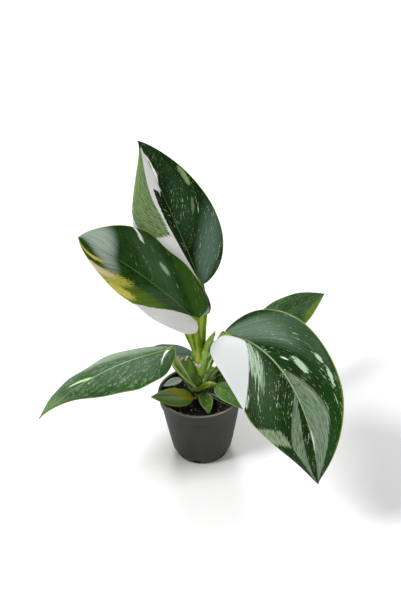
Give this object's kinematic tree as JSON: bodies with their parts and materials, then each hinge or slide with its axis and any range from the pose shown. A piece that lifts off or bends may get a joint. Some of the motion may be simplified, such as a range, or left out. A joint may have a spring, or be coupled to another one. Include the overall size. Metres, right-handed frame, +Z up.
{
  "type": "potted philodendron",
  "caption": "Young variegated philodendron with broad pointed leaves on arching stalks, planted in soil in a small tapered plastic nursery pot.",
  "frame": {"origin": "middle of the pot's flat base, where it rests", "axes": "+Z up along the pot's axis; -Y is the side that the big drooping leaf leans towards, +X to its right"},
  "size_m": [0.1987, 0.1899, 0.243],
  "materials": {
    "pot_plastic": "satin black-grey thin moulded plastic, lightly scuffed",
    "soil_mix": "dark crumbly peat and bark with a little perlite",
    "stem_green": "smooth green stem, paler roots",
    "stalk_green": "smooth ribbed leaf stalk with pale stripes",
    "sheath_green": "ribbed sheath with a cream midline and papery edge",
    "spear_green": "glossy rolled young leaf",
    "leaf_dark": "glossy deep green with cream streaks",
    "leaf_splashed": "glossy deep green splashed with white and grey-green sectors",
    "leaf_speckled": "satin mid green with fine pale specks",
    "leaf_young": "satin yellow-green young leaf",
    "leaf_pale": "pale, almost white young leaf",
    "dry_tissue": "dry cream stalk"
  },
  "bodies": {
    "root": {"nursery_pot": "pot_plastic", "potting_soil": "soil_mix", "stem_with_roots": "stem_green", "top_leaf_blade": "leaf_dark", "top_leaf_stalk": "stalk_green", "upper_left_leaf_blade": "leaf_dark", "upper_left_leaf_stalk": "stalk_green", "right_leaf_blade": "leaf_splashed", "right_leaf_stalk": "stalk_green", "rear_right_leaf_blade": "leaf_splashed", "rear_right_leaf_stalk": "stalk_green", "left_leaf_blade": "leaf_speckled", "left_leaf_stalk": "stalk_green", "rear_left_leaf_blade": "leaf_speckled", "rear_left_leaf_stalk": "stalk_green", "basal_left_leaf_blade": "leaf_young", "basal_left_leaf_stalk": "stalk_green", "basal_front_leaf_blade": "leaf_young", "basal_front_leaf_stalk": "stalk_green", "basal_right_leaf_blade": "leaf_speckled", "basal_right_leaf_stalk": "stalk_green", "basal_dark_leaf_blade": "leaf_dark", "basal_dark_leaf_stalk": "stalk_green", "basal_folded_leaf_blade": "leaf_dark", "basal_folded_leaf_stalk": "stalk_green", "basal_pale_leaf_blade": "leaf_pale", "basal_pale_leaf_stalk": "stalk_green", "new_leaf_spear": "spear_green", "spear_sheath": "sheath_green", "torn_sheath": "sheath_green", "dry_stalk": "dry_tissue"}
  },
  "joints": []
}
